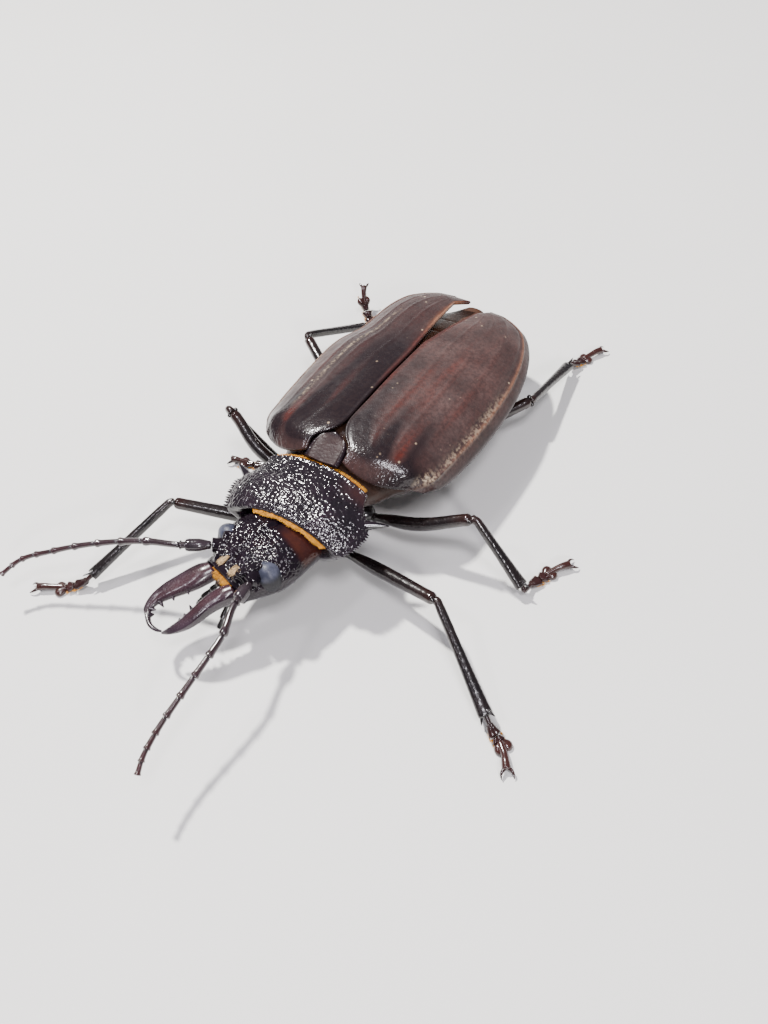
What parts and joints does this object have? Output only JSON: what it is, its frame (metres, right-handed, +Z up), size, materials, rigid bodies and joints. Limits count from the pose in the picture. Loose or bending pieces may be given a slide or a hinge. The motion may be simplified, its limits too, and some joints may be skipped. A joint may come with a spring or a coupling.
{
  "type": "macrodontia crenata beetle, life-size still model",
  "caption": "Life-size still model of a large sawyer beetle standing on six legs, with long toothed jaws, a spined pronotum, slightly parted wing cases and its head turned aside.",
  "frame": {"origin": "middle of the underside of the whole, on the floor under the body", "axes": "+Z up, +Y towards the tail end, -Y towards the head, +X to the beetle's left"},
  "size_m": [0.0917, 0.124, 0.0203],
  "materials": {
    "black_cuticle": "coarse glossy granules on black-brown cuticle",
    "wing_case": "satin dark chestnut, finely granular, red-brown streaks",
    "brown_cuticle": "satin dark brown with short golden hair",
    "jaw": "glossy purple-brown",
    "leg": "glossy brown-black",
    "foot": "red-brown with golden brushes of hair beneath",
    "eye": "matte grey-blue, finely faceted"
  },
  "bodies": {
    "root": {"abdomen": "brown_cuticle", "antenna_left_middle": "leg", "antenna_left_scape": "leg", "antenna_left_tip": "leg", "antenna_right_middle": "leg", "antenna_right_scape": "leg", "antenna_right_tip": "leg", "coxa_front_left": "leg", "coxa_front_right": "leg", "coxa_hind_left": "leg", "coxa_hind_right": "leg", "coxa_middle_left": "leg", "coxa_middle_right": "leg", "elytron_left": "wing_case", "elytron_right": "wing_case", "eye_left": "eye", "eye_right": "eye", "femur_front_left": "leg", "femur_front_right": "leg", "femur_hind_left": "leg", "femur_hind_right": "leg", "femur_middle_left": "leg", "femur_middle_right": "leg", "head": "black_cuticle", "labrum": "brown_cuticle", "mandible_left": "jaw", "mandible_right": "jaw", "mesothorax": "brown_cuticle", "metathorax": "brown_cuticle", "palp_left": "leg", "palp_right": "leg", "pronotum": "black_cuticle", "scutellum": "brown_cuticle", "tarsus_front_left": "foot", "tarsus_front_right": "foot", "tarsus_hind_left": "foot", "tarsus_hind_right": "foot", "tarsus_middle_left": "foot", "tarsus_middle_right": "foot", "tibia_front_left": "leg", "tibia_front_right": "leg", "tibia_hind_left": "leg", "tibia_hind_right": "leg", "tibia_middle_left": "leg", "tibia_middle_right": "leg"}
  },
  "joints": []
}
